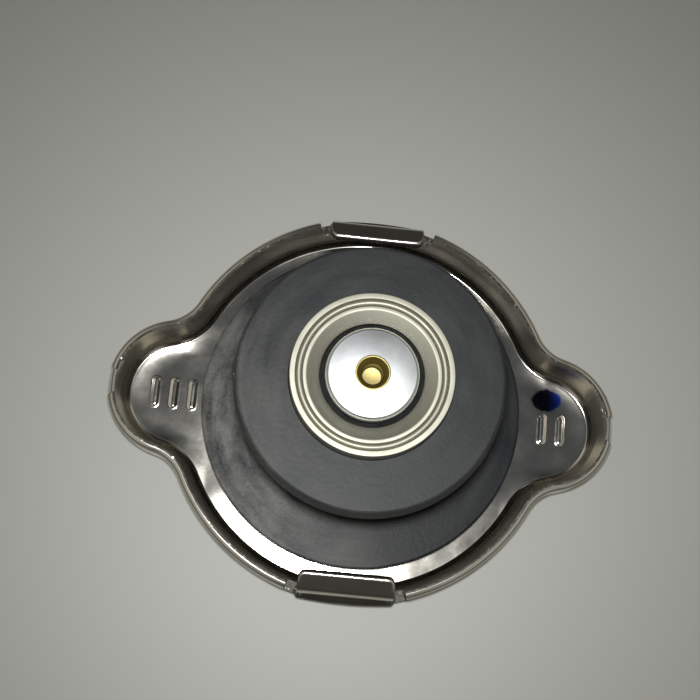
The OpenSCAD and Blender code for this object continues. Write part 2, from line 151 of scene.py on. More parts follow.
@dataclass(frozen=True)
class Finish:
    """A finish of the cap: what the material is and how its surface was made.

    Attributes:
        name: Common name of the material and its making.
        colour: Main colour, sRGB hex.
        second: Colour that the main one drifts to, sRGB hex.
        metallic: 1 for bare metal, 0 for rubber.
        smooth: Roughness of the cleanest places.
        rough: Roughness of the dullest places.
    """

    name: str
    colour: str
    second: str
    metallic: float
    smooth: float
    rough: float

    def start(self) -> tuple[Material, NodeTree, Node]:
        """Makes an empty material with its shader.

        Returns:
            The material, its node tree and its Principled shader.
        """
        material = bpy.data.materials.new(self.name)
        material.use_nodes = True
        tree = material.node_tree
        tree.nodes.clear()
        shader = add_node(tree, "BsdfPrincipled", {"Metallic": self.metallic})
        add_node(tree, "OutputMaterial", {"Surface": shader.outputs[0]})
        return material, tree, shader

    def end(self, material: Material, shader: Node, *sockets: NodeSocket) -> Material:
        """Links the surface to the shader.

        Args:
            material: The material.
            shader: Its Principled shader.
            sockets: What gives its colour, its roughness and its normal.

        Returns:
            The finished material.
        """
        for name, socket in zip(("Base Color", "Roughness", "Normal"), sockets):
            material.node_tree.links.new(socket, shader.inputs[name])
        return material

    def rings(self, tree: NodeTree, place: NodeSocket, wide_mm: float) -> tuple[NodeSocket, NodeSocket]:
        """Finds the way around the axis and the distance from it.

        Args:
            tree: Node tree of the material.
            place: Object coordinates.
            wide_mm: Radius of the circle that stands for one turn.

        Returns:
            A place on that circle, and the radius.
        """
        flat = add_node(tree, "VectorMath", {0: place, 1: (1.0, 1.0, 0.0)}, operation="MULTIPLY").outputs[0]
        radius = add_node(tree, "VectorMath", {0: flat}, operation="LENGTH").outputs["Value"]
        around = add_node(tree, "VectorMath", {0: flat}, operation="NORMALIZE").outputs[0]
        wide = add_node(tree, "VectorMath", {0: around, "Scale": wide_mm * MM}, operation="SCALE").outputs[0]
        return wide, radius


@dataclass(frozen=True)
class PlatedSheet(Finish):
    """Bright plated steel sheet, rolled, then pressed.

    Rolling leaves faint lines along the sheet, pressing leaves a soft waviness, drawing dulls the walls and
    handling leaves hazy smudges.

    Attributes:
        wall: Roughness of the drawn walls.
        smudge_mm: Size of the hazy smudges.
        dent_mm: Size of the broad waviness of the floor.
        wave_mm: Size of the fine waviness.
        line_mm: Spacing of the rolling lines, drawn coarser than the real ones so that they show.
        ink_at: Middle of the ink mark on the floor of the ear.
        ink_size: Half length and half width of the ink mark.
        wall_from: Heights between which the floor's gloss turns into the wall's.
        rim: Roughness of the rolled rim and the lugs.
        rim_from: Heights between which the wall's gloss turns into the rim's.
        haze: Range of the smudges' noise that shows as haze.
        dent_deep, wave_deep, line_deep: Depths of the two wavinesses and of the rolling lines.
        line_run: How the rolling lines are drawn out along the sheet.
        ink_colours: Colours of the mark where the ink is thick and where it is thin.
        ink_gloss: Roughness of the dry ink.
        ink_rag: Size of the mark's ragged edge, and how far it strays.
        ink_z: Height of the mark's middle, and how far from it the ink reaches.
        ink_edge: Where the ink begins and where it covers, as shares of the mark's size.
        ink_thin: Where the ink begins to thin and where it is thinnest, in the same shares.
    """

    wall: float = 0.2
    smudge_mm: float = 7.0
    dent_mm: float = 8.0
    wave_mm: float = 1.6
    line_mm: float = 0.3
    ink_at: Pair = (28.3, 4.5)
    ink_size: Pair = (2.45, 1.85)
    wall_from: Pair = (1.5, 2.4)
    rim: float = 0.26
    rim_from: Pair = (5.8, 6.3)
    haze: Pair = (0.42, 0.68)
    dent_deep: float = 0.2
    wave_deep: float = 0.006
    line_deep: float = 0.0012
    line_run: Point = (0.02, 1.0, 0.3)
    ink_colours: tuple[str, str] = ("#1b1d27", "#2a45a2")
    ink_gloss: float = 0.2
    ink_rag: Pair = (1.3, 0.9)
    ink_z: Pair = (1.05, 0.6)
    ink_edge: Pair = (1.08, 0.86)
    ink_thin: Pair = (0.1, 0.9)

    def material(self) -> Material:
        """Builds the material.

        Returns:
            The finished material.
        """
        material, tree, shader = self.start()
        place = add_node(tree, "TexCoord").outputs["Object"]
        stretch = add_node(tree, "Mapping", {"Vector": place, "Scale": self.line_run}).outputs[0]
        smudge, lines, wave, dents = (
            add_node(tree, "TexNoise", {"Vector": at, "Scale": per(size), "Detail": detail,
                                        "Roughness": rough}).outputs["Fac"]
            for at, size, detail, rough in (
                (place, self.smudge_mm, 5.0, 0.62), (stretch, self.line_mm, 2.0, 0.5),
                (place, self.wave_mm, 2.0, 0.5), (place, self.dent_mm, 1.0, 0.5)))
        haze = add_node(tree, "MapRange", {"Value": smudge, FROM: self.haze}).outputs[0]
        tint = add_node(tree, "Mix", {0: haze, 6: linear(self.colour), 7: linear(self.second)},
                        data_type="RGBA").outputs[2]
        dull = add_node(tree, "MapRange", {"Value": haze, TO: (self.smooth, self.rough)}).outputs[0]
        ink, ink_colour = self.ink(tree, place)
        colour = add_node(tree, "Mix", {0: ink, 6: tint, 7: ink_colour}, data_type="RGBA").outputs[2]
        height = add_node(tree, "SeparateXYZ", {0: place}).outputs["Z"]
        wall = add_node(tree, "MapRange", {"Value": height, FROM: metres(self.wall_from)}).outputs[0]
        rim = add_node(tree, "MapRange", {"Value": height, FROM: metres(self.rim_from),
                                          TO: (self.wall, self.rim)}).outputs[0]
        drawn = add_node(tree, "Mix", {0: wall, 2: dull, 3: rim}).outputs[0]
        gloss = add_node(tree, "Mix", {0: ink, 2: drawn, 3: self.ink_gloss}).outputs[0]
        broad = add_node(tree, "Bump", {"Height": dents, "Distance": self.dent_deep * MM}).outputs[0]
        soft = add_node(tree, "Bump", {"Height": wave, "Distance": self.wave_deep * MM,
                                       "Normal": broad}).outputs[0]
        bump = add_node(tree, "Bump", {"Height": lines, "Distance": self.line_deep * MM,
                                       "Normal": soft}).outputs[0]
        return self.end(material, shader, colour, gloss, bump)

    def ink(self, tree: NodeTree, place: NodeSocket) -> tuple[NodeSocket, NodeSocket]:
        """Draws the blue ink mark on the floor of one ear.

        Args:
            tree: Node tree of the sheet.
            place: Object coordinates.

        Returns:
            The mark's mask and its colour.
        """
        stray = self.ink_rag[1] * MM
        ragged = add_node(tree, "TexNoise", {"Vector": place, "Scale": per(self.ink_rag[0]), "Detail": 4.0,
                                             "Roughness": 0.65}).outputs["Color"]
        pushed = add_node(tree, "VectorMath", {0: ragged, 1: (0.5, 0.5, 0.5)},
                          operation="SUBTRACT").outputs[0]
        moved = add_node(tree, "VectorMath", {0: pushed, 1: (stray, stray, 0.0), 2: place},
                         operation="MULTIPLY_ADD").outputs[0]
        middle = metres((*self.ink_at, self.ink_z[0]))
        away = add_node(tree, "VectorMath", {0: moved, 1: middle}, operation="SUBTRACT").outputs[0]
        size = (per(self.ink_size[0]), per(self.ink_size[1]), per(self.ink_z[1]))
        scaled = add_node(tree, "VectorMath", {0: away, 1: size}, operation="MULTIPLY").outputs[0]
        far = add_node(tree, "VectorMath", {0: scaled}, operation="LENGTH").outputs["Value"]
        mask = add_node(tree, "MapRange", {"Value": far, FROM: self.ink_edge}).outputs[0]
        across = add_node(tree, "SeparateXYZ", {0: scaled}).outputs["X"]
        thin = add_node(tree, "MapRange", {"Value": across, FROM: self.ink_thin}).outputs[0]
        thick_ink, thin_ink = map(linear, self.ink_colours)
        colour = add_node(tree, "Mix", {0: thin, 6: thick_ink, 7: thin_ink}, data_type="RGBA").outputs[2]
        return mask, colour


@dataclass(frozen=True)
class ShearedEdge(Finish):
    """Bare cut edge of the sheet: a shear leaves dull torn grains, a few of which glint.

    Attributes:
        glint: Share of the grains that glint, in the second colour.
        grain_mm: Size of the torn grains, drawn coarser than the real ones so that they show.
        tilt: How far the grains lean away from the edge's own face.
    """

    glint: float = 0.04
    grain_mm: float = 0.25
    tilt: float = 0.35

    def material(self) -> Material:
        """Builds the material.

        Returns:
            The finished material.
        """
        material, tree, shader = self.start()
        place = add_node(tree, "TexCoord").outputs["Object"]
        grains = add_node(tree, "TexVoronoi", {"Vector": place, "Scale": per(self.grain_mm)})
        tone = add_node(tree, "SeparateColor", {0: grains.outputs["Color"]}).outputs[0]
        bright = add_node(tree, "MapRange", {"Value": tone, FROM: (1 - 2 * self.glint, 1.0)}).outputs[0]
        colour = add_node(tree, "Mix", {0: bright, 6: linear(self.colour), 7: linear(self.second)},
                          data_type="RGBA").outputs[2]
        dull = add_node(tree, "MapRange", {"Value": bright, TO: (self.rough, self.smooth)}).outputs[0]
        facing = add_node(tree, "NewGeometry").outputs["Normal"]
        random = add_node(tree, "VectorMath", {0: grains.outputs["Color"], 1: (0.5, 0.5, 0.5)},
                          operation="SUBTRACT").outputs[0]
        tilted = add_node(tree, "VectorMath", {0: random, 1: (self.tilt, self.tilt, self.tilt), 2: facing},
                          operation="MULTIPLY_ADD").outputs[0]
        normal = add_node(tree, "VectorMath", {0: tilted}, operation="NORMALIZE").outputs[0]
        return self.end(material, shader, colour, dull, normal)


@dataclass(frozen=True)
class MouldedRubber(Finish):
    """Black nitrile rubber, moulded: matt, with chalky dust in soft clouds and faint rings from the mould;
    the dust is drawn thicker on one side as painted sheen.

    Attributes:
        sheen: Level of the soft sheen, lower than a polished surface's.
        dust_and_sheen_share: Share of dust on the lit side, where it is raised as painted sheen.
        dust: Colour of the dust, which also paints the sheen, sRGB hex.
        dust_and_sheen_side: Direction towards the side where the dust is drawn thicker as painted sheen.
        dust_and_sheen_reach: Distances from the middle, that way, between which the dust and its painted
            sheen thicken.
        cloud_mm: Size of the dust clouds.
        streak_mm: Width of the streaks that turning on the neck has wiped in the dust.
        ring_mm: Spacing of the mould's turning marks.
        grain_mm: Size of the surface grain.
        turn_mm: Radius of the circle on which the rings' noise is drawn, which sets how far they run.
        dust_least: Share of dust on the far side, which stays darker as painted shade.
        dust_range: Range of the clouds' noise that shows as dust.
        gloss_range: Range of the clouds' noise between the glossiest and the dullest places.
        streak_share, grain_share: Shares of the streaks and the grain in the clouds.
        ring_deep, grain_deep: Depths of the rings and of the grain.
    """

    sheen: float
    dust_and_sheen_share: float
    dust: str = "#85847e"
    dust_and_sheen_side: Point = (-0.9, -0.44, 0.0)
    dust_and_sheen_reach: Pair = (4.0, 24.0)
    cloud_mm: float = 6.0
    streak_mm: float = 1.8
    ring_mm: float = 0.7
    grain_mm: float = 0.5
    turn_mm: float = 4.0
    dust_least: float = 0.06
    dust_range: Pair = (0.38, 0.64)
    gloss_range: Pair = (0.35, 0.7)
    streak_share: float = 0.55
    grain_share: float = 0.15
    ring_deep: float = 0.01
    grain_deep: float = 0.02

    def material(self) -> Material:
        """Builds the material.

        Returns:
            The finished material.
        """
        material, tree, shader = self.start()
        shader.inputs["Specular IOR Level"].default_value = self.sheen
        place = add_node(tree, "TexCoord").outputs["Object"]
        wide, radius = self.rings(tree, place, self.turn_mm)
        x, y, _ = add_node(tree, "SeparateXYZ", {0: wide}).outputs
        ringed = add_node(tree, "CombineXYZ", {0: x, 1: y, 2: radius}).outputs[0]
        rings, clouds, streaks, grain = (
            add_node(tree, "TexNoise", {"Vector": at, "Scale": per(size), "Detail": detail,
                                        "Roughness": rough}).outputs["Fac"]
            for at, size, detail, rough in (
                (ringed, self.ring_mm, 3.0, 0.6), (place, self.cloud_mm, 5.0, 0.55),
                (ringed, self.streak_mm, 4.0, 0.55), (place, self.grain_mm, 3.0, 0.5)))
        base = add_node(tree, "Mix", {0: rings, 6: linear(self.colour), 7: linear(self.second)},
                        data_type="RGBA").outputs[2]
        wiped = add_node(tree, "Mix", {0: self.streak_share, 2: clouds, 3: streaks}).outputs[0]
        mixed = add_node(tree, "Mix", {0: self.grain_share, 2: wiped, 3: grain}).outputs[0]
        # Painted sheen: the dust is drawn thicker towards one side, where the lamp's sheen falls, and thinner
        # on the far side, which stays darker as painted shade
        aside = add_node(tree, "VectorMath", {0: place, 1: self.dust_and_sheen_side},
                         operation="DOT_PRODUCT").outputs["Value"]
        dust_and_sheen_most = add_node(tree, "MapRange", {"Value": aside, FROM: metres(self.dust_and_sheen_reach),
                                           TO: (self.dust_least, self.dust_and_sheen_share)}).outputs[0]
        dust_and_sheen_mask = add_node(tree, "MapRange", {"Value": mixed, FROM: self.dust_range, "To Max": dust_and_sheen_most}).outputs[0]
        colour = add_node(tree, "Mix", {0: dust_and_sheen_mask, 6: base, 7: linear(self.dust)}, data_type="RGBA").outputs[2]
        dull = add_node(tree, "MapRange", {"Value": mixed, FROM: self.gloss_range,
                                           TO: (self.smooth, self.rough)}).outputs[0]
        ring_bump = add_node(tree, "Bump", {"Height": rings, "Distance": self.ring_deep * MM}).outputs[0]
        bump = add_node(tree, "Bump", {"Height": grain, "Distance": self.grain_deep * MM,
                                       "Normal": ring_bump}).outputs[0]
        return self.end(material, shader, colour, dull, bump)


@dataclass(frozen=True)
class TurnedMetal(Finish):
    """Drawn or turned metal: fine rings around the axis and a faint haze from handling.

    Attributes:
        ring_mm: Spacing of the rings, drawn coarser than the real ones so that they show.
        haze_mm: Size of the haze.
        depth_mm: Depth of the rings.
        turn_mm: Radius of the circle on which the rings' noise is drawn, which sets how far they run.
        gloss_range: Range of the haze's noise between the glossiest and the dullest places.
    """

    ring_mm: float = 0.35
    haze_mm: float = 3.0
    depth_mm: float = 0.002
    turn_mm: float = 0.6
    gloss_range: Pair = (0.35, 0.7)

    def material(self) -> Material:
        """Builds the material.

        Returns:
            The finished material.
        """
        material, tree, shader = self.start()
        place = add_node(tree, "TexCoord").outputs["Object"]
        wide, radius = self.rings(tree, place, self.turn_mm)
        height = add_node(tree, "SeparateXYZ", {0: place}).outputs["Z"]
        up = add_node(tree, "CombineXYZ", {0: radius, 1: height, 2: radius}).outputs[0]
        ringed = add_node(tree, "VectorMath", {0: wide, 1: up}, operation="ADD").outputs[0]
        rings = add_node(tree, "TexNoise", {"Vector": ringed, "Scale": per(self.ring_mm),
                                            "Detail": 2.0}).outputs["Fac"]
        haze = add_node(tree, "TexNoise", {"Vector": place, "Scale": per(self.haze_mm), "Detail": 5.0,
                                           "Roughness": 0.6}).outputs["Fac"]
        colour = add_node(tree, "Mix", {0: haze, 6: linear(self.colour), 7: linear(self.second)},
                          data_type="RGBA").outputs[2]
        dull = add_node(tree, "MapRange", {"Value": haze, FROM: self.gloss_range,
                                           TO: (self.smooth, self.rough)}).outputs[0]
        bump = add_node(tree, "Bump", {"Height": rings, "Distance": self.depth_mm * MM}).outputs[0]
        return self.end(material, shader, colour, dull, bump)


# Meshes


def rounded(corners: Sequence[Corner], steps: int = 4) -> list[Pair]:
    """Rounds the corners of a closed section.

    Args:
        corners: Points of the section with the radius of each corner.
        steps: Straight steps in each round.

    Returns:
        The points of the rounded section.
    """
    points: list[Pair] = []
    for i, (x, z, radius) in enumerate(corners):
        here = Vector((x, z))
        if radius <= 0:
            points.append((x, z))
            continue
        back = Vector(corners[i - 1][:2]) - here
        ahead = Vector(corners[(i + 1) % len(corners)][:2]) - here
        half = back.angle(ahead) / 2
        centre = here + (back.normalized() + ahead.normalized()).normalized() * (radius / math.sin(half))
        first = here + back.normalized() * (radius / math.tan(half)) - centre
        last = here + ahead.normalized() * (radius / math.tan(half)) - centre
        start = math.atan2(first.y, first.x)
        turn = (math.atan2(last.y, last.x) - start + math.pi) % (2 * math.pi) - math.pi
        for step in range(steps + 1):
            angle = start + turn * step / steps
            points.append((centre.x + radius * math.cos(angle), centre.y + radius * math.sin(angle)))
    return points


def arc(centre: Pair, radius: float, start: float, end: float, steps: int) -> list[Pair]:
    """Points on an arc.

    Args:
        centre: Middle of the arc.
        radius: Its radius.
        start: First angle in degrees.
        end: Last angle in degrees.
        steps: Straight steps in it.

    Returns:
        The points, both ends among them.
    """
    angles = [math.radians(start + (end - start) * k / steps) for k in range(steps + 1)]
    return [(centre[0] + radius * math.cos(a), centre[1] + radius * math.sin(a)) for a in angles]


@dataclass
class Shape:
    """Points and faces of a piece while it is built, in millimetres."""

    points: list[Point] = field(default_factory=list)
    faces: list[tuple[int, ...]] = field(default_factory=list)
    finishes: list[int] = field(default_factory=list)

    def row(self, points: Iterable[Point]) -> list[int]:
        """Adds points.

        Args:
            points: Places of the points.

        Returns:
            Their numbers.
        """
        first = len(self.points)
        self.points.extend(points)
        return list(range(first, len(self.points)))

    def face(self, corners: Sequence[int], finish: int = 0) -> None:
        """Adds one face with its finish."""
        self.faces.append(tuple(corners))
        self.finishes.append(finish)

    def bridge(self, low: Sequence[int], high: Sequence[int], closed: bool = True, finish: int = 0) -> None:
        """Joins two rows, either of which may be a single point.

        Args:
            low: Numbers of the first row.
            high: Numbers of the second row.
            closed: Whether the rows close on themselves.
            finish: Number of the finish.
        """
        count = max(len(low), len(high))
        for i in range(count if closed else count - 1):
            j = (i + 1) % count
            ends = [low[i % len(low)], low[j % len(low)], high[j % len(high)], high[i % len(high)]]
            self.face(list(dict.fromkeys(ends)), finish)

    @classmethod
    def turned(cls, section: Sequence[Pair], segments: int = 160, inner: float = 0.0) -> "Shape":
        """Turns a closed section about the Z axis.

        Args:
            section: Radius and height of each point; a solid piece starts and ends on the axis.
            segments: Steps around the axis.
            inner: Radius inside which the faces take the second finish.

        Returns:
            The turned shape.
        """
        shape = cls()
        turns = [2 * math.pi * k / segments for k in range(segments)]
        rows = [shape.row([(0.0, 0.0, z)] if r < 1e-6 else [(r * math.cos(a), r * math.sin(a),
                                                             z) for a in turns]) for r, z in section]
        for k, (low, high) in enumerate(zip(rows, rows[1:] + rows[:1])):
            if len(low) + len(high) > 2:
                middle = (section[k][0] + section[(k + 1) % len(section)][0]) / 2
                shape.bridge(low, high, finish=int(middle < inner))
        return shape

    def piece(self, name: str, body: Body, slot: Slot, *materials: Material) -> Object:
        """Makes the Blender object and lets it ride on its body.

        Args:
            name: Name of the piece.
            body: Body that carries it.
            slot: The record's material slot; not used.
            materials: Materials, in the order of the faces' finishes.

        Returns:
            The new object.
        """
        mesh = bpy.data.meshes.new(name)
        mesh.from_pydata([(x * MM, y * MM, z * MM) for x, y, z in self.points], [], self.faces)
        for material in materials:
            mesh.materials.append(material)
        mesh.polygons.foreach_set("material_index", self.finishes)
        work = bmesh.new()
        work.from_mesh(mesh)
        bmesh.ops.delete(work, geom=[point for point in work.verts if not point.link_faces], context="VERTS")
        bmesh.ops.recalc_face_normals(work, faces=work.faces)
        work.to_mesh(mesh)
        work.free()
        mesh.shade_smooth()
        mesh.set_sharp_from_angle(angle=SHARP_TURN)
        thing = bpy.data.objects.new(name, mesh)
        bpy.context.scene.collection.objects.link(thing)
        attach(thing, body.value)
        return thing


def even_normals(thing: Object) -> None:
    """Keeps flat faces flat in shading beside their rounded edges."""
    thing.modifiers.new("even_normals", "WEIGHTED_NORMAL").keep_sharp = True


# Sub-assemblies


@dataclass
class CapShell:
    """The pressed lid: floor, skirt, two ears, raised beads, two folded lugs and the dish for the rivet.

    The wall rises from a tight crease at the floor's edge through a small sweep, and leans out to the rolled
    rim. The names that end in _columns count the steps around the rim, and those in _steps the steps of a
    round.
    """

    ear_span: float = 74.0
    ear_r: float = 9.75
    body_r: float = 28.35
    blend_r: float = 6.6
    sheet_t: float = 0.95
    rim_z: float = 7.1
    corner_r: float = 2.3
    crease_r: float = 0.4
    crease_turn: float = 25.0
    sweep_r: float = 1.5
    wall_turn: float = 82.0
    wall_rows: Pair = (0.5, 1.0)
    crease_in: float = 1.92
    lip_in: float = 0.7
    curl_w: float = 4.0
    curl_turn: float = 8.0
    curl_at: Pair = (22.0, 28.0)
    skirt_flare: float = 0.45
    rim_roll_r: float = 0.85
    roll_steps: int = 6
    tip_flat_w: float = 4.0
    lug_w: float = 13.8
    lug_reach: float = 3.5
    lug_slope: float = 30.0
    lug_flat: float = 0.6
    lug_fold_drop: float = 0.45
    lug_bend_r: float = 0.4
    lug_edge_r: float = 0.45
    lug_corner_r: float = 1.0
    foot_out: float = 0.45
    foot_bow: float = 0.0087
    foot_rise: float = 0.45
    fold_steps: int = 8
    edge_steps: int = 4
    notch_w: float = 1.8
    notch_depth: float = 3.0
    bead_l: float = 4.4
    bead_w: float = 0.9
    bead_h: float = 0.2
    bead_flank: float = 0.34
    beads: tuple[float, ...] = (-31.05, -28.25, -25.45, 27.85, 30.65)
    hub_r: float = 12.0
    dish_r: float = 7.5
    dish_depth: float = 1.6
    hole_r: float = 2.58
    hub_margin: float = 1.5
    cut_round: float = 0.09
    cut_turn: float = 50.0
    tip_drop: float = 0.15
    ear_columns: int = 88
    blend_columns: int = 22
    wall_columns: int = 44
    notch_columns: int = 6
    lug_columns: int = 36
    crease_steps: int = 5
    sweep_steps: int = 12
    corner_steps: int = 16
    bend_steps: int = 6
    dish_steps: int = 10

    def outline(self) -> tuple[list[Pair], list[Pair], list[Strip]]:
        """Walks once around the rim.

        Returns:
            The rim's points, their outward directions, and what the skirt does after each point.
        """
        ear_x = self.ear_span / 2 - self.ear_r
        body_reach, ear_reach = self.body_r + self.blend_r, self.ear_r + self.blend_r
        blend_x = (body_reach ** 2 - ear_reach ** 2 + ear_x ** 2) / (2 * ear_x)
        blend_y = math.sqrt(body_reach ** 2 - blend_x ** 2)
        ear_turn = math.degrees(math.atan2(blend_y, blend_x - ear_x))
        body_turn = math.degrees(math.atan2(blend_y, blend_x))
        lug_turn = math.degrees(math.asin(self.lug_w / 2 / self.body_r))
        notch_turn = math.degrees(math.asin((self.lug_w / 2 + self.notch_w) / self.body_r))
        marks = [body_turn, 90 - notch_turn, 90 - lug_turn]
        marks += [180 - mark for mark in reversed(marks)]
        wall, notch = (self.wall_columns, Strip.WALL), (self.notch_columns, Strip.NOTCH)
        kinds = [wall, notch, (self.lug_columns, Strip.LUG), notch, wall]
        walk = []
        for turn in (0.0, 180.0):
            side = 1 if turn == 0 else -1
            walk.append(((side * ear_x, 0.0), self.ear_r, turn - ear_turn, turn + ear_turn, self.ear_columns,
                         Strip.WALL, 1))
            walk.append(((side * blend_x, side * blend_y), self.blend_r, turn + 180 + ear_turn,
                         turn + 180 + body_turn, self.blend_columns, Strip.WALL, -1))
            for (count, kind), first, last in zip(kinds, marks, marks[1:]):
                walk.append(((0.0, 0.0), self.body_r, turn + first, turn + last, count, kind, 1))
            walk.append(((-side * blend_x, side * blend_y), self.blend_r, turn - body_turn, turn - ear_turn,
                         self.blend_columns, Strip.WALL, -1))
        points, outward, strips = [], [], []
        for centre, radius, start, end, count, kind, sign in walk:
            for k in range(count):
                share = (1 - math.cos(math.pi * k / count)) / 2 if kind is Strip.LUG else k / count
                turn = math.radians(start + (end - start) * share)
                points.append((centre[0] + radius * math.cos(turn), centre[1] + radius * math.sin(turn)))
                outward.append((sign * math.cos(turn), sign * math.sin(turn)))
                strips.append(kind)
        return points, outward, strips

    def rise(self, x: float, y: float) -> float:
        """Height of the raised beads.

        Args:
            x: Place along the ears.
            y: Place across the ears.

        Returns:
            Height above the floor, in millimetres.
        """
        reach = (self.bead_l - self.bead_w) / 2
        height = 0.0
        for bead_x in self.beads:
            edge = math.hypot(x - bead_x, max(abs(y) - reach, 0.0)) - self.bead_w / 2
            share = min(max(0.5 - edge / self.bead_flank, 0.0), 1.0)
            height = max(height, self.bead_h * share * share * (3 - 2 * share))
        return height

    def section(self) -> tuple[list[Pair], int]:
        """Section of the sheet across the rim, from the floor inside to the outer face of the lid.

        Returns:
            Distance out from the rim's outline and height of each point, and the number of the point on the
            inner wall where the notches end.
        """
        out_r = self.corner_r + self.sheet_t
        middle, crease_x = (self.skirt_flare - out_r, out_r), self.skirt_flare - self.sheet_t - self.crease_in
        roll_z, foot_z = self.rim_z - self.rim_roll_r, self.rim_z - self.notch_depth
        turn = math.radians(self.crease_turn)
        crease = arc((crease_x, self.sheet_t + self.crease_r), self.crease_r, -90, self.crease_turn - 90,
                     self.crease_steps)
        end_x, end_z = crease[-1]
        sweep = arc((end_x - self.sweep_r * math.sin(turn), end_z + self.sweep_r * math.cos(turn)),
                    self.sweep_r, self.crease_turn - 90, self.wall_turn - 90, self.sweep_steps)
        top, base = (-self.lip_in, self.rim_z), sweep[-1]
        wall = [(base[0] + (top[0] - base[0]) * (z - base[1]) / (top[1] - base[1]),
                 z) for z in (*(base[1] + up for up in self.wall_rows), foot_z, self.shoulder_z())]
        inside = crease + sweep[1:] + wall[:2]
        rim = [*wall[2:], top]
        rim += arc((self.skirt_flare - self.rim_roll_r, roll_z), self.rim_roll_r, 90, 0, self.roll_steps)
        rim += [(self.skirt_flare, self.shoulder_z()), (self.skirt_flare, foot_z)]
        outside = arc(middle, out_r, 0, -90, self.corner_steps)
        return inside + rim + outside, len(inside)

    def curl(self, x: float, inward: float) -> float:
        """How far the floor of an ear curls up towards its wall.

        Args:
            x: Place along the ears.
            inward: Distance from the floor's edge.

        Returns:
            Height above the flat floor.
        """
        share = min(max((abs(x) - self.curl_at[0]) / (self.curl_at[1] - self.curl_at[0]), 0.0), 1.0)
        reach = max(self.curl_w - inward, 0.0)
        return share * math.tan(math.radians(self.curl_turn)) * reach * reach / (2 * self.curl_w)

    def shoulder_z(self) -> float:
        """Height of the shoulder where the skirt has stepped in to the flat of a lug."""
        return self.rim_z - self.notch_depth + self.skirt_flare + self.lug_flat

    def dish(self) -> list[Pair]:
        """Section of the dish in the middle of the lid, from its top to the outer face.

        Returns:
            Radius and height of each point; the sheet rises in two quarter turns.
        """
        bend = (self.dish_depth - self.sheet_t) / 2
        wide = bend + self.sheet_t
        out_x = self.dish_r + bend + self.sheet_t / 2
        low, high = (out_x, wide), (out_x - bend - wide, wide)
        top = arc(low, bend, -90, -180, self.bend_steps) + arc(high, wide, 0, 90, self.dish_steps)[1:]
        face = arc(high, bend, 90, 0, self.bend_steps) + arc(low, wide, 180, 270, self.dish_steps)[1:]
        hole = [(self.hole_r, self.dish_depth + self.sheet_t), (self.hole_r, self.dish_depth)]
        hub_x = out_x + self.hub_margin
        return [(hub_x, self.sheet_t), *top, *hole, *face, (hub_x, 0.0)]

    def lug_section(self, x: float) -> list[Pair]:
        """Section of a lug from the inner side of its shoulder over the fold to the outer side.

        Args:
            x: Place along the lug, from its middle.

        Returns:
            Distance from the cap's middle plane and height of each point.
        """
        fold_r, steep = self.lug_bend_r + self.sheet_t, 90 - self.lug_slope
        wall = self.body_r - self.lug_flat
        fold = (wall - fold_r, self.rim_z - self.lug_fold_drop)
        under = arc(fold, self.lug_bend_r, 0, steep, self.fold_steps)
        over = arc(fold, fold_r, steep, 0, self.fold_steps)
        past = max(abs(x) - self.lug_w / 2 + self.lug_corner_r, 0.0)
        pull = self.lug_corner_r - math.sqrt(max(self.lug_corner_r ** 2 - past ** 2, 0.0))
        run = over[0][0] - self.body_r + self.lug_reach - pull
        rise = run * math.tan(math.radians(self.lug_slope))
        corner = Vector((over[0][0] - run, over[0][1] + rise))
        along = Vector((-math.sin(math.radians(steep)), math.cos(math.radians(steep))))
        middle = corner - self.lug_edge_r * (along + Vector((along.y, -along.x)))
        edge = arc(tuple(middle), self.lug_edge_r, steep + 90, steep, self.edge_steps)
        free = [(under[-1][0] - run, under[-1][1] + rise), *edge]
        foot_in = (wall - self.sheet_t, self.shoulder_z() - self.sheet_t * math.tan(math.pi / 8))
        return [foot_in, *under, *free, *over, (wall, self.shoulder_z())]

    def lug_foot(self, x: float) -> Pair:
        """Lower edge of the slope under a lug, less curved than the skirt itself."""
        return (self.body_r + self.foot_out - x * x * self.foot_bow,
                self.rim_z - self.notch_depth + self.foot_rise)

    def build(self, sheet: Material, cut: Material, trim: Material) -> Object:
        """Sweeps the sheet around the rim and closes the floor, the notches and the lugs.

        Args:
            sheet: Finish of the sheet.
            cut: Finish of its cut edges.
            trim: Finish of the small flats on the ears' tips.

        Returns:
            The shell.
        """
        shape = Shape()
        points, outward, strips = self.outline()
        section, low = self.section()
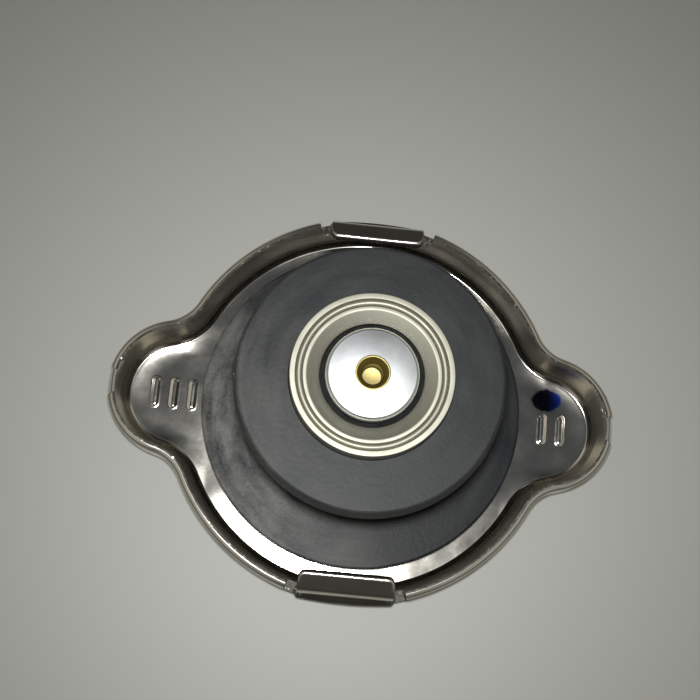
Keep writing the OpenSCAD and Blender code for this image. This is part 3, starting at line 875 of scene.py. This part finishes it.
        # Rows low to low + 2 are the notches' foot, the shoulder and the rim's inner edge; rows high - 2 to
        # high are the end of the roll, the shoulder and the notches' foot outside
        high = low + self.roll_steps + 5
        swept = [[(p[0] + n[0] * x, p[1] + n[1] * x, z) for p, n in zip(points, outward)] for x, z in section]
        for row in swept[:low]:
            share = 1 - (row[0][2] - self.sheet_t) / (self.rim_z - self.notch_depth - self.sheet_t)
            row[:] = [(x, y, z + share * self.curl(x, 0.0)) for x, y, z in row]
        for i, (x, y) in enumerate(points):
            if Strip.LUG in (strips[i], strips[i - 1]):
                lug = [*self.lug_section(x), self.lug_foot(x)]
                for row, (away, z) in zip((low + 1, low + 2, high - 2, high - 1, high), lug[:2] + lug[-3:]):
                    swept[row][i] = (x, math.copysign(away, y), z)
        tips = self.trim_tips(swept[low + 3:high - 1])
        floor, face = self.floor_rows(swept[0], True), self.floor_rows(swept[-1], False)
        rows = floor + swept + face[::-1]
        directions = [Vector(p[:2]).normalized() for p in swept[0]]
        rows += [[(d.x * r, d.y * r, z) for d in directions] for r, z in reversed(self.dish())]
        numbers = [shape.row(row) for row in rows]
        low, high = len(floor) + low, len(floor) + high
        count = len(points)
        for r, row in enumerate(numbers):
            following = numbers[(r + 1) % len(numbers)]
            for i, kind in enumerate(strips):
                on_rim = low + 2 <= r < high - 2
                if kind is Strip.NOTCH and low <= r < high or kind is Strip.LUG and on_rim:
                    continue
                j = (i + 1) % count
                finish = 2 if on_rim and i in tips and j in tips else int(r == low + 2)
                shape.face((row[i], row[j], following[j], following[i]), finish)
        self.close_cuts(shape, numbers[low:high + 1], strips, points)
        shell = shape.piece("cap_shell_sheet", Body.LID, Slot.PLATED, sheet, cut, trim)
        bevel = shell.modifiers.new("broken_edges", "BEVEL")
        bevel.width, bevel.segments, bevel.limit_method = self.cut_round * MM, 2, "ANGLE"
        bevel.angle_limit = math.radians(self.cut_turn)
        even_normals(shell)
        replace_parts(shell, "cap_shell")
        return shell

    def trim_tips(self, roll: list[list[Point]]) -> set[int]:
        """Flattens the rolled rim at the tips of the ears, where the blank was cut from its strip.

        Args:
            roll: Rows of the rolled edge, from the top of the rim out to the skirt.

        Returns:
            Numbers of the columns on the flats.
        """
        flat_x = self.ear_span / 2 - self.ear_r + math.sqrt(self.ear_r ** 2 - self.tip_flat_w ** 2 / 4)
        tips = {i for i, (x, _, _) in enumerate(roll[-1]) if abs(x) - self.skirt_flare >= flat_x}
        for i in tips:
            start, end = Vector(roll[0][i]), Vector(roll[-1][i])
            end = Vector((math.copysign(flat_x, end.x), end.y, start.z - self.tip_drop))
            for step, row in enumerate(roll):
                row[i] = tuple(start.lerp(end, step / (len(roll) - 1)))
        return tips

    def floor_rows(self, edge: Sequence[Point], inside: bool) -> list[list[Point]]:
        """Rows of the flat floor from the hub out to the swept edge, with the beads pressed up in it.

        Args:
            edge: Points where the floor meets the corner of the skirt.
            inside: Whether this is the valve side of the sheet.

        Returns:
            Rows of points, from the hub outward, without the edge itself.
        """
        level = self.sheet_t if inside else 0.0
        # Shares of the way to the hub: close rows over the beads, wide ones further in
        steps = [k / 100 for k in range(2, 56)] + [0.62, 0.7, 0.8, 0.9, 1.0]
        rows = []
        for step in reversed(steps):
            row = []
            for x, y, _ in edge:
                scale = 1 - step * (1 - self.hub_r / math.hypot(x, y))
                lift = self.rise(x * scale, y * scale)
                if inside:
                    lift += self.curl(x * scale, (1 - scale) * math.hypot(x, y))
                row.append((x * scale, y * scale, level + lift))
            rows.append(row)
        return rows

    def close_cuts(self, shape: Shape, rim: list[list[int]], strips: list[Strip],
                   points: Sequence[Pair]) -> None:
        """Closes the notches and adds the lugs.

        Args:
            shape: Shape that gets the faces.
            rim: Point numbers of each row from the notches' foot inside over the rim to their foot outside.
            strips: What the skirt does after each column.
            points: Points of the rim.
        """
        count = len(strips)
        free_edge = range(self.fold_steps + 1, self.fold_steps + 2 + self.edge_steps)
        lug_rows: dict[int, list[int]] = {}
        for i, (x, y) in enumerate(points):
            if Strip.LUG in (strips[i], strips[i - 1]):
                between = shape.row([(x, math.copysign(away, y), z) for away, z in self.lug_section(x)[2:-2]])
                lug_rows[i] = [rim[2][i], *between, rim[-3][i]]
        for i, kind in enumerate(strips):
            j = (i + 1) % count
            if kind is Strip.NOTCH:
                shape.face((rim[0][i], rim[0][j], rim[-1][j], rim[-1][i]), 1)
            if kind is Strip.LUG:
                here, ahead = lug_rows[i], lug_rows[j]
                for k in range(len(here) - 1):
                    finish = 2 if k in free_edge[1:] else int(k == free_edge[0])
                    shape.face((here[k], here[k + 1], ahead[k + 1], ahead[k]), finish)
            if Strip.NOTCH in (kind, strips[i - 1]) and kind is not strips[i - 1]:
                if i in lug_rows:
                    shape.face([rim[k][i] for k in (0, 1, 2, -3, -2, -1)], 1)
                    shape.face(lug_rows[i], 1)
                else:
                    shape.face([row[i] for row in rim], 1)


@dataclass
class Carrier:
    """What hangs on the rivet: disc spring, upper seal, bell and pressure spring."""

    seal_r: float = 23.7
    seal_in: float = 2.5
    seal_low: float = 3.07
    seal_top: float = 4.67
    land_in: float = 15.9
    land_h: float = 0.15
    land_lean: float = 0.1
    segments: int = 240

    def upper_seal(self, rubber: Material) -> Object:
        """Builds the wide rubber ring that meets the filler neck."""
        floor = self.seal_top - self.land_h
        section = rounded([(self.seal_in, self.seal_low, 0.05), (self.seal_r, self.seal_low, 0.2),
                           (self.seal_r, self.seal_top, 0.35), (self.land_in, self.seal_top, 0.05),
                           (self.land_in - self.land_lean, floor, 0.02), (self.seal_in, floor, 0.05)])
        turned = Shape.turned(section, self.segments)
        seal = turned.piece("upper_seal_ring", Body.CARRIER, Slot.RUBBER, rubber)
        even_normals(seal)
        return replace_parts(seal, "upper_seal")


@dataclass
class Coil:
    """A coil of round wire with closed end turns, standing between two seats."""

    name: str
    node: str
    body: Body
    low: float
    high: float
    mean_d: float
    wire_d: float
    turns: float
    joint: str
    anchor: float
    travel: float
    sides: int = 14
    per_turn: int = 40
    closed: float = 0.9
    closed_pitch: float = 1.06

    def height(self, turn: float) -> float:
        """Height of the wire's middle after that many turns, above the lower seat."""
        flat = self.wire_d * self.closed_pitch
        pitch = (self.high - self.low - self.wire_d - 2 * self.closed * flat) / (self.turns - 2 * self.closed)
        tight = min(turn, self.closed) + max(0.0, turn - self.turns + self.closed)
        spread = max(0.0, min(turn, self.turns - self.closed) - self.closed)
        return self.wire_d / 2 + flat * tight + pitch * spread

    def build(self, wire: Material) -> Object:
        """Sweeps the wire and closes its ends.

        Args:
            wire: Finish of the wire.

        Returns:
            The coil.
        """
        shape = Shape()
        rows = []
        steps = math.ceil(self.turns * self.per_turn)
        for step in range(steps + 1):
            turn = self.turns * step / steps
            angle = 2 * math.pi * turn
            middle = (self.mean_d / 2, self.low + self.height(turn))
            ring = arc(middle, self.wire_d / 2, 0, 360, self.sides)[:-1]
            rows.append(shape.row([(r * math.cos(angle), r * math.sin(angle), z) for r, z in ring]))
        for row, following in zip(rows, rows[1:]):
            shape.bridge(row, following)
        shape.face(rows[0])
        shape.face(rows[-1])
        coil = shape.piece(self.name, self.body, Slot.SPRING, wire)
        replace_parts(coil, self.node)
        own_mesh(coil)
        return coil


@dataclass
class PressureValve:
    """The pressure seal and the stepped ring that clamps it."""

    face_z: float = 28.1
    seal_r: float = 17.62
    foot_r: float = 18.1
    seal_low: float = 25.0
    edge_r: float = 0.5
    seat_z: float = 28.0
    seat_r: float = 10.85
    land_z: float = 27.6
    lip_out: float = 6.0
    lip_in: float = 5.3
    lip_z: float = 28.9
    step_in: float = 7.1
    step_out: float = 8.3
    hole_r: float = 6.75
    hole_z: float = 29.25
    crest_z: float = 30.3
    sheet_t: float = 0.7
    groove_w: float = 0.9
    crest_w: float = 0.5
    rim_r: float = 10.7
    rim_t: float = 0.8
    rim_z: float = 30.5
    shelf_z: float = 29.75
    rim_round: float = 0.14
    groove_lean: float = 0.12
    groove_round: float = 0.4
    crest_round: Pair = (0.16, 0.5)
    round_steps: int = 8
    shade_in: float = 0.1
    segments: int = 240

    def seal(self, rubber: Material, shaded: Material) -> Object:
        """Builds the thick rubber ring with the lip for the vacuum cup inside.

        Args:
            rubber: Finish of the seal.
            shaded: Finish of the land and lip under the cup, a near black that paints the shade in the gap
                around the cup.

        Returns:
            The seal.
        """
        section = rounded([(self.lip_in, self.seal_low, 0.1), (self.foot_r, self.seal_low, 0.2),
                           (self.seal_r, self.face_z, self.edge_r), (self.seat_r, self.face_z, 0.04),
                           (self.seat_r, self.seat_z, 0), (self.step_out, self.seat_z, 0),
                           (self.step_in, self.land_z, 0), (self.lip_out, self.land_z, 0),
                           (self.lip_out, self.lip_z, 0.15), (self.lip_in, self.lip_z, 0.15)])
        # Faces inside the seat take the second finish, painted shade for the gap around the cup
        shape = Shape.turned(section, self.segments, self.seat_r - self.shade_in)
        seal = shape.piece("pressure_seal_ring", Body.PRESSURE, Slot.RUBBER, rubber, shaded)
        even_normals(seal)
        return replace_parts(seal, "pressure_seal")

    def retainer(self, steel: Material) -> Object:
        """Builds the ring: an upright rim, a groove and a crest that slopes down to the hole."""
        rim_in, under = self.rim_r - self.rim_t, self.shelf_z - self.sheet_t
        crest_out, crest_in = rim_in - self.groove_w, rim_in - self.groove_w - self.crest_w
        fall = Vector((crest_in - self.hole_r, self.crest_z - self.hole_z)).normalized()
        inner = (self.hole_r + fall.y * self.sheet_t, self.hole_z - fall.x * self.sheet_t)
        section = rounded([
            (self.hole_r, self.hole_z, 0.15), (*inner, 0.15),
            (inner[0] + (under - inner[1]) * fall.x / fall.y, under, 0), (rim_in, under, 0),
            (rim_in, self.seat_z, 0.1), (self.rim_r, self.seat_z, 0.1),
            (self.rim_r, self.rim_z, self.rim_round), (rim_in, self.rim_z, self.rim_round),
            (rim_in - self.groove_lean, self.shelf_z, self.groove_round),
            (crest_out + self.groove_lean, self.shelf_z, self.groove_round),
            (crest_out, self.crest_z, self.crest_round[0]),
            (crest_in, self.crest_z, self.crest_round[1])], self.round_steps)
        turned = Shape.turned(section, self.segments)
        ring = turned.piece("seal_retainer_ring", Body.PRESSURE, Slot.STAINLESS, steel)
        even_normals(ring)
        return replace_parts(ring, "seal_retainer")


@dataclass
class VacuumValve:
    """The vacuum cup on its hollow brass stem."""

    cup_r: float = 6.1
    cup_low: float = 28.95
    cup_top: float = 31.25
    cup_t: float = 0.8
    crown_h: float = 0.5
    flare_r: float = 2.3
    stem_r: float = 1.8
    stem_low: float = 17.6
    washer_z: float = 18.2
    bore_r: float = 1.35
    bore_z: float = 28.0
    collar_r: float = 2.9
    collar_h: float = 0.6
    collar_gap: float = 0.1
    upset_r: float = 2.8
    mouth_r: float = 2.05
    mouth_drop: float = 0.05
    mouth_h: float = 1.0
    shoulder_lift: float = 0.03
    edge_turn: float = 60.0
    edge_lap: float = 0.3
    crown_steps: int = 8
    cup_segments: int = 192
    stem_segments: int = 96

    def crown(self, radius: float, depth: float) -> float:
        """Height of the cup's crown at a radius, that deep under its surface."""
        reach = self.cup_r - self.cup_t
        ball = (reach ** 2 + self.crown_h ** 2) / (2 * self.crown_h)
        return self.cup_top - ball + math.sqrt((ball - depth) ** 2 - radius ** 2)

    def cup(self, steel: Material) -> Object:
        """Builds the drawn cup with its crowned top and softly rounded edge."""
        reach, steps = self.cup_r - self.cup_t, self.crown_steps
        shoulder = (reach, self.cup_top - self.crown_h - self.cup_t + self.shoulder_lift)
        edge = arc(shoulder, self.cup_t, 0, self.edge_turn, steps)
        radii = [self.flare_r + (reach + self.edge_lap - self.flare_r) * k / steps for k in range(steps + 1)]
        top = [(r, self.crown(r, 0.0)) for r in reversed(radii)]
        under = [(min(r, reach), self.crown(min(r, reach), self.cup_t)) for r in radii[:-1]]
        section = [(self.cup_r, self.cup_low), *edge, *top, *under, (reach, self.cup_low)]
        cup = Shape.turned(section, self.cup_segments).piece("vacuum_cup_shell", Body.VACUUM, Slot.CUP, steel)
        even_normals(cup)
        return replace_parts(cup, "vacuum_cup")

    def stem(self, brass: Material) -> Object:
        """Builds the stem, flared over the cup and upset under the washer."""
        under = self.crown(self.collar_r, self.cup_t) - self.collar_gap
        low, mouth = under - self.collar_h, self.cup_top - self.mouth_drop
        section = rounded([(0, self.stem_low, 0), (self.upset_r, self.stem_low, 0.2),
                           (self.upset_r, self.washer_z, 0.1), (self.stem_r, self.washer_z, 0),
                           (self.stem_r, low, 0), (self.collar_r, low, 0.1), (self.collar_r, under, 0),
                           (self.flare_r, under, 0),
                           (self.flare_r, mouth, 0.08), (self.mouth_r, mouth, 0.08),
                           (self.bore_r, mouth - self.mouth_h, 0.1), (self.bore_r, self.bore_z, 0.15),
                           (0, self.bore_z, 0)])
        turned = Shape.turned(section, self.stem_segments)
        stem = turned.piece("vacuum_stem_brass", Body.VACUUM, Slot.BRASS, brass)
        even_normals(stem)
        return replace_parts(stem, "vacuum_stem")


@dataclass
class CadNodes:
    """Nodes whose shape comes straight from the frame and that only get their finish here."""

    def dress(self, name: str, material: Material) -> Object:
        """Gives a node its material.

        Args:
            name: Name of the node.
            material: Its finish.

        Returns:
            The node's object.
        """
        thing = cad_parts[name]
        thing.data.materials.clear()
        thing.data.materials.append(material)
        return thing


# Stage


@dataclass
class Studio:
    """Camera, lamp, world and floor.

    The room is dim in front and behind, has a light wall on either side and is shaded overhead. The pairs
    give the part of the sky, as a share of straight up or straight aside, over which one light turns into
    the next.
    """

    lens: float = 61.755
    camera_at: Point = (-7.295, -30.659, 180.684)
    look: Point = (0.02679, 0.21721, -0.97576)
    up: Point = (-0.09895, 0.97189, 0.21363)
    dim_light: float = 0.03
    wall_light: float = 0.16
    side_light: float = 0.6
    shade_light: float = 0.07
    shade_from: Pair = (0.8, 0.9)
    wall_to: Pair = (0.5, 0.62)
    side_from: Pair = (0.22, 0.45)
    room_colour: str = "#f4efe0"
    shade_colour: str = "#dbe6f2"
    background: str = "#b4b4b0"
    key_at: Point = (-8.5, -22.0, 183.0)
    key_size: float = 14.0
    key_power: float = 0.081
    key_spread: float = 84.0
    floor_half: float = 1500.0
    floor_drop: float = 0.02
    floor_colour: str = "#979892"
    floor_rough: float = 0.55

    def camera(self) -> None:
        """Sets the camera where the photograph was taken."""
        data = bpy.data.cameras.new("camera")
        data.lens, data.sensor_width = self.lens, 36.0
        data.clip_start, data.clip_end = 0.01, 20.0
        camera = bpy.data.objects.new("camera", data)
        bpy.context.scene.collection.objects.link(camera)
        look = Vector(self.look).normalized()
        right = look.cross(Vector(self.up)).normalized()
        turn = Matrix((right, right.cross(look), -look)).transposed()
        camera.matrix_world = Matrix.Translation(Vector(self.camera_at) * MM) @ turn.to_4x4()
        bpy.context.scene.camera = camera

    def lamp(self) -> None:
        """Hangs one soft round lamp beside the camera and points it at the cap."""
        data = bpy.data.lights.new("key", "AREA")
        data.shape, data.size, data.energy = "DISK", self.key_size * MM, self.key_power
        data.spread = math.radians(self.key_spread)
        lamp = bpy.data.objects.new("key", data)
        bpy.context.scene.collection.objects.link(lamp)
        lamp.location = Vector(self.key_at) * MM
        lamp.rotation_mode = "QUATERNION"
        lamp.rotation_quaternion = (-lamp.location).to_track_quat("-Z", "Y")

    def world(self) -> None:
        """Gives the room a soft light on either side, shade overhead, and the camera a pale background."""
        world = bpy.data.worlds.new("room")
        bpy.context.scene.world = world
        world.use_nodes = True
        tree = world.node_tree
        tree.nodes.clear()
        path = add_node(tree, "LightPath")
        toward = add_node(tree, "TexCoord").outputs["Generated"]
        parts = add_node(tree, "SeparateXYZ", {0: toward})
        across = add_node(tree, "Math", {0: parts.outputs["X"]}, operation="ABSOLUTE").outputs[0]
        over, high, side = (
            add_node(tree, "MapRange", {"Value": value, FROM: span}).outputs[0]
            for value, span in ((parts.outputs["Z"], self.shade_from), (parts.outputs["Z"], self.wall_to),
                                (across, self.side_from)))
        rise = add_node(tree, "Mix", {0: high, 2: self.wall_light, 3: self.side_light}).outputs[0]
        low = add_node(tree, "Mix", {0: side, 2: self.dim_light, 3: rise}).outputs[0]
        light = add_node(tree, "Mix", {0: over, 2: low, 3: self.shade_light}).outputs[0]
        colour = add_node(tree, "Mix", {0: over, 6: linear(self.room_colour), 7: linear(self.shade_colour)},
                          data_type="RGBA").outputs[2]
        room = add_node(tree, "Background", {"Color": colour, "Strength": light})
        pale = add_node(tree, "Background", {"Color": linear(self.background), "Strength": 1.0})
        both = add_node(tree, "MixShader", {0: path.outputs["Is Camera Ray"], 1: room.outputs[0],
                                            2: pale.outputs[0]})
        add_node(tree, "OutputWorld", {"Surface": both.outputs[0]})

    def floor(self) -> None:
        """Lays the pale table top."""
        half, drop = self.floor_half * MM, self.floor_drop * MM
        mesh = bpy.data.meshes.new("floor")
        corners = [(-half, -half, -drop), (half, -half, -drop), (half, half, -drop), (-half, half, -drop)]
        mesh.from_pydata(corners, [], [(0, 1, 2, 3)])
        floor = bpy.data.objects.new("floor", mesh)
        bpy.context.scene.collection.objects.link(floor)
        material = bpy.data.materials.new("pale_table_top")
        material.use_nodes = True
        shader = material.node_tree.nodes["Principled BSDF"]
        shader.inputs["Base Color"].default_value = linear(self.floor_colour)
        shader.inputs["Roughness"].default_value = self.floor_rough
        mesh.materials.append(material)


def main() -> None:
    """Builds the cap, its stage and its camera."""
    logging.basicConfig(level=logging.INFO, format="%(name)s: %(message)s")
    for name in ("Cube", "Light", "Camera"):
        if name in bpy.data.objects:
            bpy.data.objects.remove(bpy.data.objects[name])
    bpy.context.scene.view_settings.view_transform = "Standard"

    # Bright plating on rolled and pressed sheet: mirrors the room, with soft waves and hazy smudges
    sheet = PlatedSheet("plated_pressed_steel", "#d6d2c8", "#c6c2b7", 1.0, 0.13, 0.18).material()
    # Steel cut by a shear and left bare: dark and dull, with a few torn grains that glint
    cut = ShearedEdge("sheared_steel_edge", "#464540", "#a8a49a", 1.0, 0.35, 0.55).material()
    # Steel trimmed by the press tool: a paler edge, more even than the sheared one
    trim = ShearedEdge("trimmed_steel_edge", "#c0bab4", "#d4cec8", 1.0, 0.24, 0.3, tilt=0.12).material()
    # Nitrile rubber, moulded: near black and matt, with dust in clouds and streaks, drawn thicker on one side
    # as painted sheen
    rubber = MouldedRubber("moulded_nitrile_rubber", "#121416", "#1a1c1f", 0.0, 0.38, 0.46, sheen=0.1,
                           dust_and_sheen_share=0.62, dust_and_sheen_reach=(4.0, 20.0)).material()
    # The same on the pressure seal: a lighter black under a thinner film of dust, also drawn thicker on one
    # side as painted sheen
    seal_rubber = MouldedRubber("moulded_seal_rubber", "#1e2022", "#262829", 0.0, 0.44, 0.52, sheen=0.13,
                                dust_and_sheen_share=0.28, cloud_mm=9.0).material()
    # Painted shade: a near-black rubber with almost no sheen on the land and lip under the cup, for the shade
    # in the gap around it
    painted_shade_rubber = MouldedRubber("painted_shade_seal_rubber", "#0b0c0d", "#101112", 0.0, 0.6, 0.7, sheen=0.05,
                                 dust_and_sheen_share=0.06).material()
    # Stainless sheet, drawn: a warm grey satin that blurs what it mirrors
    stainless = TurnedMetal("drawn_stainless_steel", "#979689", "#89877b", 1.0, 0.52, 0.58,
                            depth_mm=0.001).material()
    # Steel sheet, drawn to a cup: a pale, cool satin with faint rings
    satin = TurnedMetal("satin_drawn_steel", "#c9cccd", "#bec2c3", 1.0, 0.38, 0.43).material()
    # Brass, turned on a lathe and gone dull: a muted yellow with fine rings, darkened all over as painted
    # shade for its hollow end
    brass = TurnedMetal("turned_brass", "#8f8458", "#776c42", 1.0, 0.4, 0.5).material()
    # Spring wire, drawn and hardened: a mid grey, glossy in some places and dull in others
    wire = TurnedMetal("hardened_spring_wire", "#8e8f90", "#6f6f70", 1.0, 0.28, 0.45).material()
    # Steel with a thin plating of zinc: a pale grey that mirrors softly
    zinc = TurnedMetal("zinc_plated_steel", "#c9c9c6", "#aeaeab", 1.0, 0.25, 0.42).material()

    nodes = CadNodes()
    shell = CapShell()
    carrier = Carrier()
    valve = PressureValve()
    vacuum = VacuumValve()
    springs = (
        Coil("pressure_spring_wire", "pressure_spring", Body.CARRIER, low=5.22, high=24.2, mean_d=26.0,
             wire_d=2.0, turns=6.0, joint="pressure_lift", anchor=5.22, travel=3.5),
        Coil("vacuum_spring_wire", "vacuum_spring", Body.PRESSURE, low=18.8, high=24.2, mean_d=5.2,
             wire_d=0.5, turns=5.0, joint="vacuum_open", anchor=24.2, travel=1.8),
    )
    made = [shell.build(sheet, cut, trim), carrier.upper_seal(rubber), valve.seal(seal_rubber, painted_shade_rubber),
            valve.retainer(stainless), vacuum.cup(satin), vacuum.stem(brass)]
    made += [spring.build(wire) for spring in springs]
    made += [nodes.dress(node, metal) for node, metal in (
        ("centre_rivet", zinc), ("spring_disc", stainless), ("spring_bell", zinc), ("pressure_plate", zinc),
        ("spring_washer", zinc))]

    studio = Studio()
    studio.camera()
    studio.world()
    studio.floor()
    studio.lamp()


if __name__ == "__main__":
    main()
